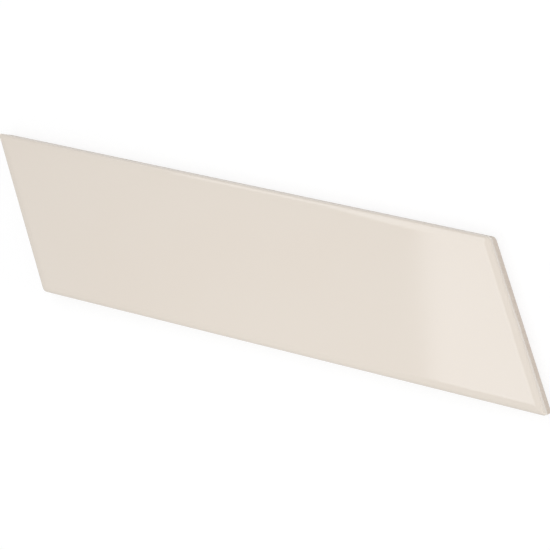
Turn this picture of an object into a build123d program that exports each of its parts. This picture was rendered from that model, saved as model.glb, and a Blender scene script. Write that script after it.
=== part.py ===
from build123d import *

import os
from math import radians, sin, tan

# Chevron wall tile: one dry-pressed, glazed and fired parallelogram of ceramic.
# Millimetres: X runs along the long edges, Y across the tile and Z up out of the glazed face.
# The tile lies on its back, with the origin at the middle of its outline on the plane that the back rests on.

# Outline, between the widest points of the edges: acute corners are tips, obtuse ones heels
long_side = 186.0
face_width = 52.0
end_angle = 60.0
tip_radius = 0.7
heel_radius = 2.0

# Section
thickness = 9.0
rim_width = 3.0
rim_drop = 0.7
lip_radius = 1.4
back_bevel = 0.5

# Keyed back: channels pressed between ribs, inside a plain border
key_border = 5.0
key_depth = 0.7
key_channels = 5
key_rib = 2.4
key_draft = 30.0

# How far a cutting body runs past what it cuts
overrun = 5.0

end_distance = long_side * sin(radians(end_angle))
overall_length = long_side + face_width / tan(radians(end_angle))


def skewed(along, across):
    """Point of the tile's plan, on axes along the long edges and along the slanted ends."""
    return Vector(along - across / tan(radians(end_angle)), across)


def edge_section(width):
    """Section square to a pair of edges: bevelled back, upright walls, rounded lips and soft shoulders."""
    wall, shoulder = width / 2, width / 2 - rim_width
    wall_top = thickness - rim_drop
    section = make_face(
        [
            Line((-wall, 0), (wall, 0)),
            Line((wall, 0), (wall, wall_top)),
            TangentArc((shoulder, thickness), (wall, wall_top), tangent=(1, 0)),
            Line((shoulder, thickness), (-shoulder, thickness)),
            TangentArc((-shoulder, thickness), (-wall, wall_top), tangent=(-1, 0)),
            Line((-wall, wall_top), (-wall, 0)),
        ]
    )
    section = fillet(section.vertices().group_by(Axis.Y)[1], lip_radius)
    return chamfer(section.vertices().group_by(Axis.Y)[0], back_bevel)


def edge_bar(width):
    """Long bar of that section, running along X."""
    return extrude(Plane.YZ * edge_section(width), amount=overall_length, both=True)


def corner_post(radius):
    """The edge section turned about a corner's centre line, as the rounded corner has it."""
    rim = Pos(radius - face_width / 2, 0) * edge_section(face_width)
    outer = rim & (Pos(radius / 2, thickness / 2) * Rectangle(radius, thickness))
    return revolve(Plane.XZ * outer, axis=Axis.Z)


def corner_trim(corner, previous, following, radius):
    """What the press die leaves off at a corner: its sharp end, outside the rounded post."""
    first, second = (previous - corner).normalized(), (following - corner).normalized()
    half_angle = radians(first.get_angle(second)) / 2
    centre = corner + (first + second).normalized() * (radius / sin(half_angle))
    tangent_length = radius / tan(half_angle)
    out_first = (corner + first * tangent_length - centre).normalized() * overrun
    out_second = (corner + second * tangent_length - centre).normalized() * overrun
    kite = Polygon(
        centre,
        corner + first * tangent_length + out_first,
        corner + out_first + out_second,
        corner + second * tangent_length + out_second,
        align=None,
    )
    block = Pos(0, 0, -overrun) * extrude(kite, amount=thickness + 2 * overrun)
    return block - Pos(centre) * corner_post(radius)


def key_channel(number):
    """One channel of the keyed back, with drafted flanks and ends parallel to the tile's ends."""
    key_width = face_width - 2 * key_border
    channel = (key_width - (key_channels - 1) * key_rib) / key_channels
    low = -key_width / 2 + number * (channel + key_rib)
    high = low + channel
    reach = long_side / 2 - key_border / sin(radians(end_angle))
    mouth = Polygon(
        skewed(-reach, low), skewed(reach, low), skewed(reach, high), skewed(-reach, high), align=None
    )
    return extrude(mouth, amount=key_depth, taper=key_draft)


def tile():
    """The whole tile: two crossed bars make the four edges, then the corners and the back are cut."""
    body = edge_bar(face_width) & (Rot(0, 0, -end_angle) * edge_bar(end_distance))
    half_side, half_width = long_side / 2, face_width / 2
    corners = [
        skewed(-half_side, -half_width),
        skewed(half_side, -half_width),
        skewed(half_side, half_width),
        skewed(-half_side, half_width),
    ]
    for number, radius in enumerate([heel_radius, tip_radius, heel_radius, tip_radius]):
        following = corners[(number + 1) % len(corners)]
        body -= corner_trim(corners[number], corners[number - 1], following, radius)
    for number in range(key_channels):
        body -= key_channel(number)
    return body


os.makedirs("parts", exist_ok=True)
export_step(tile(), "parts/tile.step")
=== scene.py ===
"""Chevron wall tile: a pressed body with a keyed back under a warm white glaze, and its stage."""

from collections import namedtuple
from math import atan2, cos, radians, sin, sqrt, tan

import bmesh
import bpy
from bpy.props import FloatProperty, FloatVectorProperty, IntProperty, PointerProperty
from mathutils import Matrix, Vector


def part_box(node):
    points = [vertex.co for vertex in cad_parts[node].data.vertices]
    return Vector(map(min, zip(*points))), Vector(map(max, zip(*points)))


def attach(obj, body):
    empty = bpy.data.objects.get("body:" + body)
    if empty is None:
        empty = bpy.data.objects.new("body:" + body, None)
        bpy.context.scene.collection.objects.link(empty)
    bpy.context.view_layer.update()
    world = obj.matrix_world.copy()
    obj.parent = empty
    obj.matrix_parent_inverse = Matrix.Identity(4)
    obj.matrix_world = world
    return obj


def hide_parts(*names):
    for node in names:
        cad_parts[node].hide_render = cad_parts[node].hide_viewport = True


bl_info = {
    "name": "Chevron Wall Tile",
    "version": (1, 0, 0),
    "blender": (4, 5, 0),
    "location": "3D View > Sidebar > Chevron Tile",
    "description": "Presses and glazes a chevron wall tile, and sets a plain stage for it",
    "category": "Add Mesh",
}

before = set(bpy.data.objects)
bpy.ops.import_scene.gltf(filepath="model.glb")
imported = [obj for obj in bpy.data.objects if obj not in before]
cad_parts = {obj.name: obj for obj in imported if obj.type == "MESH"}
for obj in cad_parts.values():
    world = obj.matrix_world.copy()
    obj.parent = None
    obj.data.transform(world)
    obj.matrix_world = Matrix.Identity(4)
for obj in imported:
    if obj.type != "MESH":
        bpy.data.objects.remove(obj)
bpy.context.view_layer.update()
tile_low, tile_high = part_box("tile")

# Corner of the outline: its place, the way in from it, half of its angle and its rounding
Corner = namedtuple("Corner", "place inward half_angle radius")

# Stop of the section: how far in from the wall, and how high above the back
Stop = namedtuple("Stop", "inset height")

# How finely the curves are divided
corner_steps = 20
lip_steps = 12
shoulder_steps = 12
key_rounding_steps = 3

# Edges that turn further than this are shaded sharp
sharp_angle = radians(32)

# Points closer than this are one point
merge_distance = 1e-6

# The floor is a wide disc, a hair below the tile
floor_radius = 12.0
floor_segments = 96
floor_drop = 5e-5


def length_property(name, description, default):
    """A size in metres."""
    return FloatProperty(
        name=name,
        description=description,
        default=default,
        min=0.0001,
        max=1.0,
        precision=5,
        subtype="DISTANCE",
        unit="LENGTH",
    )


def angle_property(name, description, degrees, least, most):
    """An angle, given here in degrees."""
    return FloatProperty(
        name=name,
        description=description,
        default=radians(degrees),
        min=radians(least),
        max=radians(most),
        subtype="ANGLE",
        unit="ROTATION",
    )


def colour_property(name, description, default):
    """A colour as it reflects light, without the screen's curve."""
    return FloatVectorProperty(
        name=name, description=description, default=default, min=0.0, max=1.0, size=3, subtype="COLOR"
    )


def power_property(name, description, default):
    """A light's power in watts."""
    return FloatProperty(
        name=name, description=description, default=default, min=0.0, max=100.0, precision=3, unit="POWER"
    )


def share_property(name, description, default):
    """A number from 0 to 1."""
    return FloatProperty(
        name=name, description=description, default=default, min=0.0, max=1.0, precision=3, subtype="FACTOR"
    )


class TileShape(bpy.types.PropertyGroup):
    """Sizes of the pressed body."""

    long_side: length_property("Long side", "Long edge between its sharp corners", 0.186)
    face_width: length_property("Width", "Distance between the long edges", tile_high.y - tile_low.y)
    thickness: length_property("Thickness", "From the back to the glazed face", tile_high.z - tile_low.z)
    end_angle: angle_property("End angle", "Angle of the outline's acute corners", 60, 30, 90)
    tip_radius: length_property("Tip radius", "Rounding of the outline's acute corners", 0.0007)
    heel_radius: length_property("Heel radius", "Rounding of the outline's obtuse corners", 0.0020)
    rim_width: length_property("Rim width", "How far the soft rim reaches in from an edge", 0.003)
    rim_drop: length_property("Rim drop", "How far the rim falls from the face to the wall", 0.0007)
    lip_radius: length_property("Lip radius", "Rounding where the rim turns into the wall", 0.0014)
    crease_radius: length_property("Crease radius", "Softness of the crease where two rims meet", 0.00035)
    back_bevel: length_property("Back bevel", "Bevel round the back", 0.0005)
    key_border: length_property("Key border", "Plain border round the keyed back", 0.005)
    key_depth: length_property("Key depth", "Depth of the channels in the back", 0.0007)
    key_rib: length_property("Key rib", "Width of the ribs between the channels", 0.0024)
    key_rounding: length_property("Key rounding", "Rounding of the channels' edges", 0.0002)
    key_channels: IntProperty(
        name="Key channels", description="Number of channels in the back", default=5, min=1, max=9
    )
    key_draft: angle_property("Key draft", "Slope of the channels' flanks", 30, 0, 60)


class TileFinish(bpy.types.PropertyGroup):
    """Colours of the glaze and of the bare body."""

    glaze_colour: colour_property("Glaze", "Colour of the glaze on the face", (0.765, 0.690, 0.606))
    glaze_pooled: colour_property("Pooled glaze", "Colour of thicker glaze", (0.769, 0.697, 0.615))
    glaze_roughness: share_property("Glaze roughness", "How far the glaze scatters reflections", 0.075)
    glaze_overrun: length_property("Glaze overrun", "How far the glaze runs down the walls", 0.0022)
    body_colour: colour_property("Body", "Colour of the bare fired body", (0.733, 0.655, 0.576))
    body_shade: colour_property("Body shade", "Darker grains of the bare body", (0.648, 0.562, 0.482))
    body_speck: colour_property("Body specks", "Sparse dark specks of the body", (0.430, 0.330, 0.250))
    # Pale coat on the back's standing faces: partly kiln wash, partly painted shade that leaves the
    # channels darker
    kiln_wash_and_shade: colour_property("Kiln wash", "Thin pale coat on the back's ribs", (0.800, 0.745, 0.680))


class TileStage(bpy.types.PropertyGroup):
    """Floor, light and camera."""

    floor_colour: colour_property("Floor", "Colour of the floor, as it lights the tile", (0.65, 0.65, 0.65))
    floor_veil: share_property("Floor veil", "How strongly the floor shows the tile's shadow", 0.26)
    floor_lift: share_property("Floor lift", "Light of its own that brings the floor up to white", 0.765)
    soft_light: power_property("Soft light", "Power of the long panel that the right end mirrors", 2.15)
    wing_light: power_property("Wing light", "Power of the panel that the rear shoulder mirrors", 0.53)
    strip_light: power_property("Strip light", "Power of the panel that the rear lip mirrors", 0.80)
    side_light: power_property("Side light", "Power of the low panel at the right", 3.9)
    key_light: power_property("Key light", "Power of the small panel close above the tile", 0.055)
    room_light: share_property("Room light", "Strength of the light from all round", 0.688)
    room_lean: share_property("Room lean", "How much more of it comes from the front", 0.13)
    camera_place: FloatVectorProperty(
        name="Camera",
        description="Where the camera stands",
        default=(0.2123, 0.0453, 0.5279),
        subtype="TRANSLATION",
        unit="LENGTH",
    )
    camera_turn: FloatVectorProperty(
        name="Camera turn",
        description="How the camera is turned",
        default=(radians(-0.352), radians(21.954), radians(11.986)),
        subtype="EULER",
        unit="ROTATION",
    )
    camera_lens: FloatProperty(
        name="Lens", description="Focal length", default=108.83, min=10.0, max=500.0, unit="CAMERA"
    )


def skewed(shape, along, across):
    """Point of the plan, on axes along the long edges and along the slanted ends."""
    return Vector((along - across / tan(shape.end_angle), across, 0))


def turned(direction, angle):
    """The direction turned about Z."""
    return Matrix.Rotation(angle, 3, "Z") @ direction


def outline_corners(shape):
    """The outline's four corners in order, a tip and a heel by turns."""
    half_side = shape.long_side / 2
    half_width = shape.face_width / 2
    places = [
        (skewed(shape, half_side, -half_width), shape.tip_radius),
        (skewed(shape, half_side, half_width), shape.heel_radius),
        (skewed(shape, -half_side, half_width), shape.tip_radius),
        (skewed(shape, -half_side, -half_width), shape.heel_radius),
    ]
    corners = []
    for number, (place, radius) in enumerate(places):
        before = (places[number - 1][0] - place).normalized()
        after = (places[(number + 1) % len(places)][0] - place).normalized()
        corners.append(Corner(place, (before + after).normalized(), before.angle(after) / 2, radius))
    return corners


def section_stops(shape):
    """Stops of the section from the back up the wall and over the lip and the shoulder to the face."""
    shoulder_radius = (shape.rim_width**2 + shape.rim_drop**2) / (2 * shape.rim_drop)
    shoulder_height = shape.thickness - shoulder_radius
    reach = shape.rim_width - shape.lip_radius
    rise = sqrt((shoulder_radius - shape.lip_radius) ** 2 - reach**2)
    lip_height = shoulder_height + rise
    lip_start = radians(90)
    lip_end = atan2(reach, rise)

    # Short flat runs beside the curves keep the wall and the face evenly shaded
    hold = shape.lip_radius / 8
    stops = [
        Stop(shape.back_bevel, 0.0),
        Stop(0.0, shape.back_bevel),
        Stop(0.0, shape.back_bevel + hold),
        Stop(0.0, lip_height - hold),
        Stop(0.0, lip_height),
    ]
    for step in range(1, lip_steps + 1):
        tilt = lip_start + (lip_end - lip_start) * step / lip_steps
        stops.append(Stop(shape.lip_radius * (1 - sin(tilt)), lip_height + shape.lip_radius * cos(tilt)))
    for step in range(1, shoulder_steps + 1):
        tilt = lip_end * (1 - step / shoulder_steps)
        inset = shape.rim_width - shoulder_radius * sin(tilt)
        stops.append(Stop(inset, shoulder_height + shoulder_radius * cos(tilt)))
    stops.append(Stop(shape.rim_width + hold, shape.thickness))
    stops.append(Stop(shape.rim_width + 4 * hold, shape.thickness))
    return stops


def draw_outline(bm, shape):
    """Draw the outline as a closed line: each corner is an arc between two short straight runs."""
    run = shape.rim_width
    first = last = None
    for corner in outline_corners(shape):
        centre = corner.place + corner.inward * (corner.radius / sin(corner.half_angle))
        sweep = radians(180) - 2 * corner.half_angle
        out = turned(corner.inward, radians(90) + corner.half_angle)
        along = turned(out, radians(90))
        start = bm.verts.new(centre + out * corner.radius)
        lead = bm.verts.new(start.co - along * run)
        bm.edges.new((lead, start))
        if last is not None:
            bm.edges.new((last, lead))
        arc = bmesh.ops.spin(bm, geom=[start], cent=centre, axis=(0, 0, 1), angle=sweep, steps=corner_steps)
        end = next(part for part in arc["geom_last"] if isinstance(part, bmesh.types.BMVert))
        last = bmesh.ops.extrude_vert_indiv(bm, verts=[end])["verts"][0]
        bmesh.ops.translate(bm, verts=[last], vec=turned(along, sweep) * run)
        first = first or lead
    bm.edges.new((last, first))


def corner_arc(shape, corner, stop):
    """Centre and radius of a corner's arc in the ring at one stop of the section."""
    radius = max(corner.radius - stop.inset, min(corner.radius, shape.crease_radius))
    centre = corner.place + corner.inward * ((stop.inset + radius) / sin(corner.half_angle))
    return centre + Vector((0, 0, stop.height)), radius


def move_ring(bm, shape, ring, old, new):
    """Move a ring of the outline from one stop of the section to the next, keeping its corners round."""
    corners = outline_corners(shape)
    groups = [[] for corner in corners]
    for vert in ring:
        distances = [(corner.place - vert.co).xy.length for corner in corners]
        groups[distances.index(min(distances))].append(vert)
    for corner, group in zip(corners, groups):
        old_centre, old_radius = corner_arc(shape, corner, old)
        new_centre, new_radius = corner_arc(shape, corner, new)
        share = new_radius / old_radius
        space = Matrix.Translation(-old_centre)
        bmesh.ops.scale(bm, verts=group, vec=(share, share, 1), space=space)
        bmesh.ops.translate(bm, verts=group, vec=new_centre - old_centre)


def press_edges(bm, shape):
    """Carry the outline up the section from the back to the face, and close the face."""
    draw_outline(bm, shape)
    stops = section_stops(shape)
    move_ring(bm, shape, bm.verts, Stop(0.0, 0.0), stops[0])
    edges = list(bm.edges)
    for old, new in zip(stops, stops[1:]):
        made = bmesh.ops.extrude_edge_only(bm, edges=edges)["geom"]
        ring = {part for part in made if isinstance(part, bmesh.types.BMVert)}
        sides = [part for part in made if isinstance(part, bmesh.types.BMEdge)]
        edges = [edge for edge in sides if ring.issuperset(edge.verts)]
        move_ring(bm, shape, ring, old, new)
    bmesh.ops.contextual_create(bm, geom=edges)


def back_faces(bm):
    """Faces on the plane that the back rests on."""
    return [face for face in bm.faces if all(abs(vert.co.z) < merge_distance for vert in face.verts)]


def cut_back(bm, place, normal):
    """Cut the faces of the back along an upright plane."""
    faces = back_faces(bm)
    edges = {edge for face in faces for edge in face.edges}
    verts = {vert for face in faces for vert in face.verts}
    parts = [*faces, *edges, *verts]
    bmesh.ops.bisect_plane(bm, geom=parts, dist=merge_distance, plane_co=place, plane_no=normal)


def mark_channels(bm, shape):
    """Cut the back along the channels' sides and ends, and give the faces at their mouths."""
    key_width = shape.face_width - 2 * shape.key_border
    channel = (key_width - (shape.key_channels - 1) * shape.key_rib) / shape.key_channels
    lows = [-key_width / 2 + number * (channel + shape.key_rib) for number in range(shape.key_channels)]
    reach = shape.long_side / 2 - shape.key_border / sin(shape.end_angle)
    end_normal = Vector((sin(shape.end_angle), cos(shape.end_angle), 0))
    for side in (-1, 1):
        cut_back(bm, Vector((side * reach, 0, 0)), end_normal)
    for low in lows:
        cut_back(bm, Vector((0, low, 0)), Vector((0, 1, 0)))
        cut_back(bm, Vector((0, low + channel, 0)), Vector((0, 1, 0)))
    mouths = []
    for face in back_faces(bm):
        middle = face.calc_center_median()
        along = middle.x + middle.y / tan(shape.end_angle)
        if abs(along) < reach and any(low < middle.y < low + channel for low in lows):
            mouths.append(face)
    return mouths


def press_back(bm, shape):
    """Close the back and press its channels, with drafted flanks and softened edges."""
    bmesh.ops.contextual_create(bm, geom=[edge for edge in bm.edges if edge.is_boundary])
    # The back has to face down before the channels are pressed into it
    bmesh.ops.recalc_face_normals(bm, faces=bm.faces)
    floors = mark_channels(bm, shape)
    rims = {edge for face in floors for edge in face.edges}
    bmesh.ops.inset_individual(
        bm,
        faces=floors,
        thickness=shape.key_depth * tan(shape.key_draft),
        depth=-shape.key_depth,
        use_even_offset=True,
    )
    rims |= {edge for face in floors for edge in face.edges}
    bmesh.ops.bevel(
        bm,
        geom=list(rims),
        offset=shape.key_rounding,
        offset_type="OFFSET",
        affect="EDGES",
        segments=key_rounding_steps,
        profile=0.5,
        material=-1,
        clamp_overlap=True,
    )


class NodeMaker:
    """Adds nodes to a material or a world and links them in order."""

    def __init__(self, owner):
        owner.use_nodes = True
        self.owner = owner
        self.tree = owner.node_tree
        self.tree.nodes.clear()

    def add(self, kind, inputs=None, **settings):
        """Add a node; an input is linked where a socket is given, and set where a value is."""
        node = self.tree.nodes.new(kind)
        for key, value in settings.items():
            setattr(node, key, value)
        for key, value in (inputs or {}).items():
            if isinstance(value, bpy.types.NodeSocket):
                self.tree.links.new(value, node.inputs[key])
            else:
                node.inputs[key].default_value = value
        return node

    def math(self, operation, first, second=0.0, third=0.0):
        """Work out one number from up to three."""
        terms = {0: first, 1: second, 2: third}
        return self.add("ShaderNodeMath", terms, operation=operation).outputs["Value"]

    def weigh(self, *terms):
        """Add up numbers, each times its weight."""
        total = 0.0
        for number, weight in terms:
            total = self.math("MULTIPLY_ADD", number, weight, total)
        return total

    def between(self, factor, low, high):
        """Go from low to high as the factor goes from 0 to 1."""
        return self.math("MULTIPLY_ADD", factor, high - low, low)

    def noise(self, place, scale, detail=2.0, roughness=0.5):
        """Noise from 0 to 1."""
        inputs = {"Vector": place, "Scale": scale, "Detail": detail, "Roughness": roughness}
        return self.add("ShaderNodeTexNoise", inputs).outputs["Fac"]

    def sway(self, place, scale, reach, detail=2.0):
        """Noise about zero that goes about as far as reach to both sides."""
        return self.between(self.noise(place, scale, detail), -2 * reach, 2 * reach)

    def mix(self, factor, first, second):
        """Mix two numbers."""
        return self.add("ShaderNodeMix", {0: factor, 2: first, 3: second}, data_type="FLOAT").outputs[0]

    def blend(self, factor, first, second):
        """Mix two colours."""
        return self.add("ShaderNodeMix", {0: factor, 6: first, 7: second}, data_type="RGBA").outputs[2]

    def ramp(self, value, low, high):
        """Ease a number from 0 to 1 as it goes from low to high."""
        inputs = {"Value": value, "From Min": low, "From Max": high}
        return self.add("ShaderNodeMapRange", inputs, interpolation_type="SMOOTHSTEP").outputs["Result"]

    def seen(self):
        """1 for what the eye sees, straight or mirrored, and 0 for what only lights the tile."""
        path = self.add("ShaderNodeLightPath").outputs
        direct = self.math("MAXIMUM", path["Is Camera Ray"], path["Is Glossy Ray"])
        return self.math("MAXIMUM", direct, path["Is Transmission Ray"])

    def switch(self, factor, first, second):
        """Mix two shaders."""
        return self.add("ShaderNodeMixShader", {0: factor, 1: first, 2: second}).outputs[0]


def solid(colour):
    """A colour property as a socket takes it."""
    return (*colour, 1.0)


def grey(value):
    """A neutral colour as a socket takes it."""
    return (value, value, value, 1.0)


def glaze_mask(make, place, height, shape, finish):
    """1 on the glaze, which ends part way down the walls in a wavy, stippled line, and 0 below it."""
    line = shape.thickness - shape.rim_drop - finish.glaze_overrun
    line_softness = 0.00012
    above = make.math("SUBTRACT", height, line)
    above = make.math("ADD", above, make.sway(place, scale=90.0, reach=0.0006))
    above = make.math("ADD", above, make.sway(place, scale=600.0, reach=0.0002, detail=3.0))
    above = make.math("ADD", above, make.sway(place, scale=3200.0, reach=0.00012))
    return make.ramp(above, low=-line_softness, high=line_softness)


def body_tone(make, place, height, grain, finish):
    """Grainy fired body with the die's drag lines on its walls, dark specks, and a pale wash below, partly
    painted shade that keeps the back's channels darker.
    """
    drag_stretch = (1.0, 1.0, 0.05)
    speck_strength = 0.7
    wash_and_shade_cover = 0.55
    drawn = make.add("ShaderNodeMapping", {"Vector": place, "Scale": drag_stretch}).outputs["Vector"]
    drag = make.noise(drawn, scale=700.0, detail=3.0, roughness=0.6)
    cloud = make.noise(place, scale=60.0, detail=3.0)
    mottle = make.weigh((grain, 0.55), (drag, 0.30), (cloud, 0.15))
    shaded = make.ramp(mottle, low=0.36, high=0.64)
    tone = make.blend(shaded, solid(finish.body_colour), solid(finish.body_shade))

    specks = make.ramp(make.noise(place, scale=1300.0, detail=1.0), low=0.72, high=0.78)
    tone = make.blend(make.math("MULTIPLY", specks, speck_strength), tone, solid(finish.body_speck))

    # The pale wash is only on what stands on the kiln's shelf, and is rubbed through in places; it is also
    # painted shade, leaving the channels darker than the ribs
    standing = make.ramp(height, low=0.00025, high=0.00003)
    rubbed = make.ramp(make.noise(place, scale=240.0, detail=4.0, roughness=0.6), low=0.35, high=0.65)
    wash_and_shade = make.math("MULTIPLY", make.math("MULTIPLY", standing, rubbed), wash_and_shade_cover)
    return make.blend(wash_and_shade, tone, solid(finish.kiln_wash_and_shade))


def surface_relief(make, place, grain, glaze):
    """Slow swells and a faint orange peel in the glaze, and grit on the bare body."""
    swell_height = 1.6e-5
    peel_height = 1.0e-6
    grit_height = 6e-5
    swell = make.noise(place, scale=45.0, detail=1.0)
    peel = make.noise(place, scale=420.0)
    waves = make.weigh((swell, swell_height), (peel, peel_height))
    relief = make.mix(glaze, make.math("MULTIPLY", grain, grit_height), waves)
    bump = make.add("ShaderNodeBump", {"Height": relief, "Distance": 1.0, "Strength": 1.0})
    return bump.outputs["Normal"]


def glazed_body(shape, finish):
    """Gloss glaze on the face, rims and upper walls over a bare, finely grained fired body."""
    haze_reach = 0.015
    make = NodeMaker(bpy.data.materials.new("glazed_body"))
    place = make.add("ShaderNodeTexCoord").outputs["Object"]
    height = make.add("ShaderNodeSeparateXYZ", {"Vector": place}).outputs["Z"]
    glaze = glaze_mask(make, place, height, shape, finish)
    grain = make.noise(place, scale=1800.0, detail=3.0, roughness=0.65)

    pooling = make.ramp(make.noise(place, scale=28.0), low=0.3, high=0.7)
    glaze_tone = make.blend(pooling, solid(finish.glaze_colour), solid(finish.glaze_pooled))
    colour = make.blend(glaze, body_tone(make, place, height, grain, finish), glaze_tone)

    haze = make.noise(place, scale=55.0, detail=3.0)
    least = finish.glaze_roughness - haze_reach
    most = finish.glaze_roughness + haze_reach
    gloss = make.between(haze, low=least, high=most)
    bare = make.between(grain, low=0.80, high=0.92)
    roughness = make.mix(glaze, bare, gloss)

    normal = surface_relief(make, place, grain, glaze)
    shader = make.add(
        "ShaderNodeBsdfPrincipled",
        {"Base Color": colour, "Roughness": roughness, "IOR": 1.52, "Normal": normal},
    )
    make.add("ShaderNodeOutputMaterial", {"Surface": shader.outputs["BSDF"]})
    return make.owner


def studio_floor(stage):
    """Pale floor that takes the tile's shadow, and is near white to the eye and in reflections."""
    dust_tone = 0.5
    dust_strength = 0.1
    fade_start = 0.25
    fade_end = 0.9
    make = NodeMaker(bpy.data.materials.new("studio_floor"))
    place = make.add("ShaderNodeTexCoord").outputs["Object"]
    dust = make.math("MULTIPLY", make.noise(place, scale=30.0, detail=3.0), dust_strength)
    tone = make.blend(dust, solid(stage.floor_colour), grey(dust_tone))
    ground = make.add("ShaderNodeBsdfDiffuse", {"Color": tone}).outputs[0]

    # To the eye, a thin veil that takes the shadow, lifted to white, and plain white further out
    veil = make.add("ShaderNodeBsdfDiffuse", {"Color": grey(stage.floor_veil)}).outputs[0]
    lift = make.add("ShaderNodeEmission", {"Color": grey(1.0), "Strength": stage.floor_lift}).outputs[0]
    near = make.add("ShaderNodeAddShader", {0: veil, 1: lift}).outputs[0]
    white = make.add("ShaderNodeEmission", {"Color": grey(1.0), "Strength": 1.0}).outputs[0]
    away = make.add("ShaderNodeVectorMath", {0: place}, operation="LENGTH").outputs["Value"]
    shown = make.switch(make.ramp(away, low=fade_start, high=fade_end), near, white)
    make.add("ShaderNodeOutputMaterial", {"Surface": make.switch(make.seen(), ground, shown)})
    return make.owner


def studio_room(stage):
    """Soft light from all round, a little more of it from the front, and a plain white background."""
    make = NodeMaker(bpy.data.worlds.new("studio_room"))
    toward = make.add("ShaderNodeTexCoord").outputs["Generated"]
    rearward = make.add("ShaderNodeSeparateXYZ", {"Vector": toward}).outputs["Y"]
    strength = make.math("MULTIPLY_ADD", rearward, -stage.room_lean * stage.room_light, stage.room_light)
    room = make.add("ShaderNodeBackground", {"Color": grey(1.0), "Strength": strength}).outputs[0]
    white = make.add("ShaderNodeBackground", {"Color": grey(1.0), "Strength": 1.0}).outputs[0]
    make.add("ShaderNodeOutputWorld", {"Surface": make.switch(make.seen(), room, white)})
    return make.owner


def settle_order(parts, place):
    """Put a mesh's points, edges or faces in the order of their places, the same in every run."""
    digits = 7
    ordered = sorted(parts, key=lambda part: place(part).to_tuple(digits))
    for number, part in enumerate(ordered):
        part.index = number
    parts.sort()


def link_mesh(context, bm, name, material):
    """Finish a mesh as an object at the origin."""
    bmesh.ops.recalc_face_normals(bm, faces=bm.faces)
    settle_order(bm.verts, lambda vert: vert.co)
    settle_order(bm.edges, lambda edge: (edge.verts[0].co + edge.verts[1].co) / 2)
    settle_order(bm.faces, lambda face: face.calc_center_median())
    mesh = bpy.data.meshes.new(name)
    bm.to_mesh(mesh)
    bm.free()
    mesh.materials.append(material)
    mesh.shade_smooth()
    mesh.set_sharp_from_angle(angle=sharp_angle)
    made = bpy.data.objects.new(name, mesh)
    context.scene.collection.objects.link(made)
    return made


def lay_floor(context, stage):
    """Lay the floor under the tile."""
    bm = bmesh.new()
    bmesh.ops.create_circle(bm, cap_ends=True, segments=floor_segments, radius=floor_radius)
    bmesh.ops.translate(bm, verts=bm.verts, vec=(0, 0, -floor_drop))
    link_mesh(context, bm, "floor", studio_floor(stage))


def hang_panel(scene, name, power, size, place, turn=None):
    """Hang a light panel, unseen by the camera: level and turned about Z, or else aimed at the tile."""
    lamp = bpy.data.lights.new(name, "AREA")
    lamp.shape = "RECTANGLE"
    lamp.size, lamp.size_y = size
    lamp.energy = power
    panel = bpy.data.objects.new(name, lamp)
    panel.location = place
    if turn is None:
        panel.rotation_euler = panel.location.to_track_quat("Z", "Y").to_euler()
    else:
        panel.rotation_euler.z = turn
    panel.visible_camera = False
    scene.collection.objects.link(panel)
    return panel


def hang_panels(scene, stage):
    """Three panels that the glaze mirrors, a low one at the right, and a key light close above."""
    mirrored_height = 0.909
    mirrored_turn = radians(15.3)
    soft = hang_panel(
        scene,
        "soft_panel",
        power=stage.soft_light,
        size=(0.30, 1.15),
        place=(-0.169, 0.380, mirrored_height),
        turn=mirrored_turn,
    )
    soft.data.color = (0.92, 0.95, 1.0)
    wing = hang_panel(
        scene,
        "wing_panel",
        power=stage.wing_light,
        size=(0.20, 0.50),
        place=(-0.47, 0.70, mirrored_height),
        turn=mirrored_turn,
    )
    wing.visible_diffuse = False
    strip = hang_panel(
        scene, "strip_panel", power=stage.strip_light, size=(0.42, 0.44), place=(-0.51, 1.06, 0.70)
    )
    strip.visible_diffuse = False
    side = hang_panel(
        scene, "side_panel", power=stage.side_light, size=(0.40, 0.40), place=(1.30, 0.20, 0.30)
    )
    side.visible_glossy = False
    key = hang_panel(
        scene,
        "key_panel",
        power=stage.key_light,
        size=(0.08, 0.08),
        place=(0.033, -0.05, 0.209),
        turn=0.0,
    )
    key.visible_glossy = False


def stand_camera(scene, stage):
    """Stand the camera at the chosen place."""
    lens = bpy.data.cameras.new("camera")
    lens.lens = stage.camera_lens
    lens.sensor_width = 36.0
    lens.clip_start = 0.01
    camera = bpy.data.objects.new("camera", lens)
    camera.location = stage.camera_place
    camera.rotation_euler = stage.camera_turn
    scene.collection.objects.link(camera)
    scene.camera = camera


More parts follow.
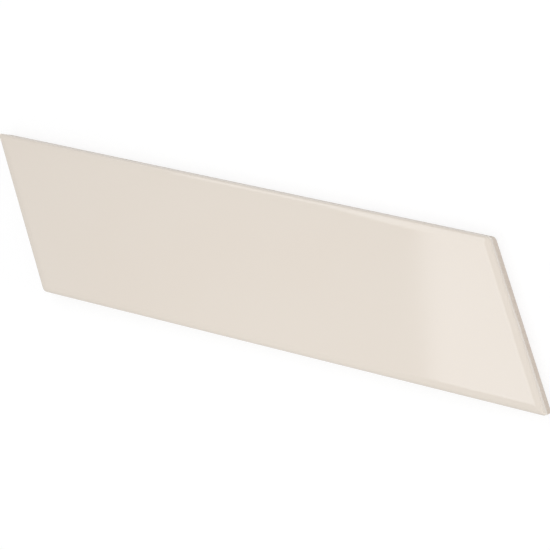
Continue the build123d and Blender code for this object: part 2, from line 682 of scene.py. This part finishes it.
class CHEVRON_OT_press_tile(bpy.types.Operator):
    """Press the tile's body with its soft rims and keyed back, and glaze it"""

    bl_idname = "chevron.press_tile"
    bl_label = "Press Tile"
    bl_options = {"REGISTER", "UNDO"}

    def execute(self, context):
        shape = context.scene.chevron_shape
        bm = bmesh.new()
        press_edges(bm, shape)
        press_back(bm, shape)
        if not all(edge.is_manifold for edge in bm.edges):
            raise RuntimeError("The tile's mesh isn't closed")
        material = glazed_body(shape, context.scene.chevron_finish)
        piece = link_mesh(context, bm, "glazed_tile", material)
        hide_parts("tile")
        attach(piece, "root")
        return {"FINISHED"}


class CHEVRON_OT_set_stage(bpy.types.Operator):
    """Lay the floor, hang the lights and stand the camera"""

    bl_idname = "chevron.set_stage"
    bl_label = "Set Stage"
    bl_options = {"REGISTER", "UNDO"}

    def execute(self, context):
        scene = context.scene
        stage = scene.chevron_stage
        lay_floor(context, stage)
        scene.world = studio_room(stage)
        hang_panels(scene, stage)
        stand_camera(scene, stage)
        scene.view_settings.view_transform = "Standard"
        return {"FINISHED"}


class CHEVRON_PT_tile(bpy.types.Panel):
    """Lists the tile's sizes and finishes, and the steps that make it"""

    bl_idname = "CHEVRON_PT_tile"
    bl_label = "Chevron Tile"
    bl_space_type = "VIEW_3D"
    bl_region_type = "UI"
    bl_category = "Chevron Tile"

    def draw(self, context):
        scene = context.scene
        steps = (
            (CHEVRON_OT_press_tile, (scene.chevron_shape, scene.chevron_finish)),
            (CHEVRON_OT_set_stage, (scene.chevron_stage,)),
        )
        for operator, groups in steps:
            column = self.layout.column(align=True)
            for group in groups:
                for name in group.__annotations__:
                    column.prop(group, name)
            self.layout.operator(operator.bl_idname)


classes = (
    TileShape,
    TileFinish,
    TileStage,
    CHEVRON_OT_press_tile,
    CHEVRON_OT_set_stage,
    CHEVRON_PT_tile,
)


def register():
    for kind in classes:
        bpy.utils.register_class(kind)
    bpy.types.Scene.chevron_shape = PointerProperty(type=TileShape)
    bpy.types.Scene.chevron_finish = PointerProperty(type=TileFinish)
    bpy.types.Scene.chevron_stage = PointerProperty(type=TileStage)


def unregister():
    del bpy.types.Scene.chevron_stage
    del bpy.types.Scene.chevron_finish
    del bpy.types.Scene.chevron_shape
    for kind in reversed(classes):
        bpy.utils.unregister_class(kind)


def main():
    """Make the tile and its stage."""
    register()
    bpy.ops.chevron.press_tile()
    bpy.ops.chevron.set_stage()
    bpy.context.view_layer.update()


if __name__ == "__main__":
    main()
